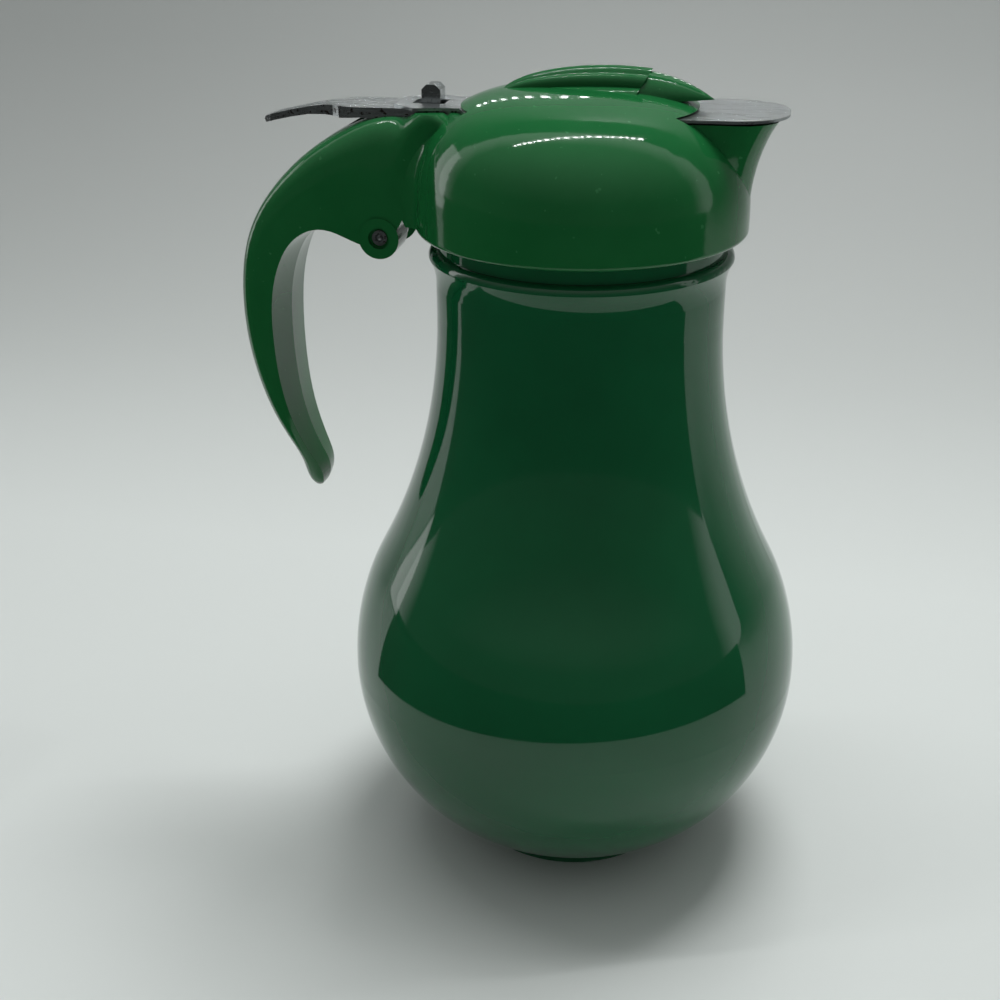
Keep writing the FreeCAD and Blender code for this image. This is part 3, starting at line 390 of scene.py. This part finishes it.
def area_lamp(name, place, target, width, depth, power):
    """A rectangular lamp at a place, facing a target."""
    data = bpy.data.lights.new(name, "AREA")
    data.shape = "RECTANGLE"
    data.size = width
    data.size_y = depth
    data.energy = power
    lamp = bpy.data.objects.new(name, data)
    lamp.location = place
    aim = Vector(target) - Vector(place)
    lamp.rotation_euler = aim.to_track_quat("-Z", "Y").to_euler()
    bpy.context.scene.collection.objects.link(lamp)
    return lamp


def dark_card():
    """A little over half a ring of dark card in front of the jar, seen in reflections alone, as a
    painted dark reflection of the shade and dark room in front of it.
    """
    mesh = bpy.data.meshes.new("dark_card")
    card = bmesh.new()
    inner = card.verts.new((-CARD_HOLE, 0.0, 0.0))
    out = bmesh.ops.extrude_vert_indiv(card, verts=[inner])
    bmesh.ops.translate(card, verts=out["verts"], vec=(CARD_HOLE - CARD_RADIUS, 0.0, 0.0))
    back = Matrix.Rotation(-math.radians(CARD_REACH), 4, "Z")
    bmesh.ops.transform(card, matrix=back, verts=card.verts[:])
    swing = math.pi + 2.0 * math.radians(CARD_REACH)
    bmesh.ops.spin(
        card,
        geom=card.verts[:] + card.edges[:],
        cent=(0, 0, 0),
        axis=(0, 0, 1),
        angle=swing,
        steps=CARD_STEPS,
    )
    bmesh.ops.translate(card, verts=card.verts[:], vec=CARD_MIDDLE)
    bmesh.ops.recalc_face_normals(card, faces=card.faces[:])
    card.to_mesh(mesh)
    card.free()
    # Dark colour that glossy surfaces show as a painted reflection of shade.
    mesh.materials.append(plain_material("painted_reflected_shade", CARD_COLOUR, 0.9))
    item = bpy.data.objects.new("dark_card", mesh)
    bpy.context.scene.collection.objects.link(item)
    item.visible_camera = False
    item.visible_diffuse = False
    item.visible_shadow = False
    item.visible_transmission = False


def lamp_row(name, first, last, count, side, power):
    """A row of small bright lamps between two places, all facing the jar's top."""
    start = Vector(first)
    step = (Vector(last) - start) / (count - 1)
    for i in range(count):
        area_lamp(f"{name}_{i}", start + step * i, ROW_TARGET, side, side, power)


def room_light():
    """The room's own light: bright behind and above the jar, dark in front of it."""
    world = bpy.data.worlds.new("dim_room")
    world.use_nodes = True
    tree = world.node_tree
    back = tree.nodes["Background"]
    back.inputs["Color"].default_value = (0.94, 0.97, 0.955, 1.0)
    ways = tree.nodes.new("ShaderNodeSeparateXYZ")
    tree.links.new(tree.nodes.new("ShaderNodeTexCoord").outputs["Generated"], ways.inputs[0])
    behind = remap(tree, ways.outputs["Y"], -0.04, 0.14, 0.09, 1.05)
    above = remap(tree, ways.outputs["Z"], 0.2, 0.9, 0.0, 0.4)
    total = tree.nodes.new("ShaderNodeMath")
    total.operation = "ADD"
    tree.links.new(behind, total.inputs[0])
    tree.links.new(above, total.inputs[1])
    tree.links.new(total.outputs[0], back.inputs["Strength"])
    return world


class PITCHER_OT_stage(bpy.types.Operator):
    """Set the tabletop, the wall, the lamps and the camera"""

    bl_idname = "pitcher.stage"
    bl_label = "Set the stage"

    def execute(self, context):
        scene = context.scene
        stage = scene.pitcher_stage
        make_backdrop(stage, scene.pitcher_colours)
        dark_card()
        area_lamp("overhead_lamp", *OVERHEAD_LAMP).visible_glossy = False
        area_lamp("side_window", *SIDE_WINDOW).visible_diffuse = False
        high = stage.lamp_height
        lamp_row("upper_row", (*UPPER_ROW_LEFT, high), (*UPPER_ROW_RIGHT, high), *UPPER_ROW_LAMPS)
        back = stage.wall_distance - WALL_CLEARANCE
        left = (BACK_ROW_LEFT, back, BACK_ROW_HEIGHT)
        right = (BACK_ROW_RIGHT, back, BACK_ROW_HEIGHT)
        lamp_row("back_row", left, right, *BACK_ROW_LAMPS)
        scene.world = room_light()
        data = bpy.data.cameras.new("camera")
        data.lens = stage.lens
        camera = bpy.data.objects.new("camera", data)
        turn = (
            Matrix.Rotation(math.radians(CAMERA_YAW), 4, "Z")
            @ Matrix.Rotation(math.radians(CAMERA_TILT), 4, "X")
            @ Matrix.Rotation(math.radians(CAMERA_ROLL), 4, "Z")
        )
        camera.matrix_world = Matrix.Translation(CAMERA_PLACE) @ turn
        scene.collection.objects.link(camera)
        scene.camera = camera
        scene.view_settings.view_transform = "Standard"
        return {"FINISHED"}


class PITCHER_PT_panel(bpy.types.Panel):
    """Steps of the pitcher, in order"""

    bl_idname = "PITCHER_PT_panel"
    bl_label = "Syrup Pitcher"
    bl_space_type = "VIEW_3D"
    bl_region_type = "UI"
    bl_category = "Pitcher"

    def draw(self, context):
        layout = self.layout
        for group in (context.scene.pitcher_colours, context.scene.pitcher_stage):
            for name in group.bl_rna.properties.keys():
                if name not in ("rna_type", "name"):
                    layout.prop(group, name)
        for step in STEPS:
            layout.operator(step.bl_idname)


STEPS = (PITCHER_OT_jar, PITCHER_OT_top, PITCHER_OT_metal, PITCHER_OT_stage)
CLASSES = (PitcherColours, PitcherStage, *STEPS, PITCHER_PT_panel)


def register():
    """Register the classes and the scene's properties."""
    for item in CLASSES:
        bpy.utils.register_class(item)
    bpy.types.Scene.pitcher_colours = bpy.props.PointerProperty(type=PitcherColours)
    bpy.types.Scene.pitcher_stage = bpy.props.PointerProperty(type=PitcherStage)


def unregister():
    """Take the properties and classes away again."""
    del bpy.types.Scene.pitcher_stage
    del bpy.types.Scene.pitcher_colours
    for item in reversed(CLASSES):
        bpy.utils.unregister_class(item)


def main():
    """Run every step in order."""
    register()
    handling_group()
    bpy.ops.pitcher.jar()
    bpy.ops.pitcher.top()
    bpy.ops.pitcher.metal()
    bpy.ops.pitcher.stage()


if __name__ == "__main__":
    main()
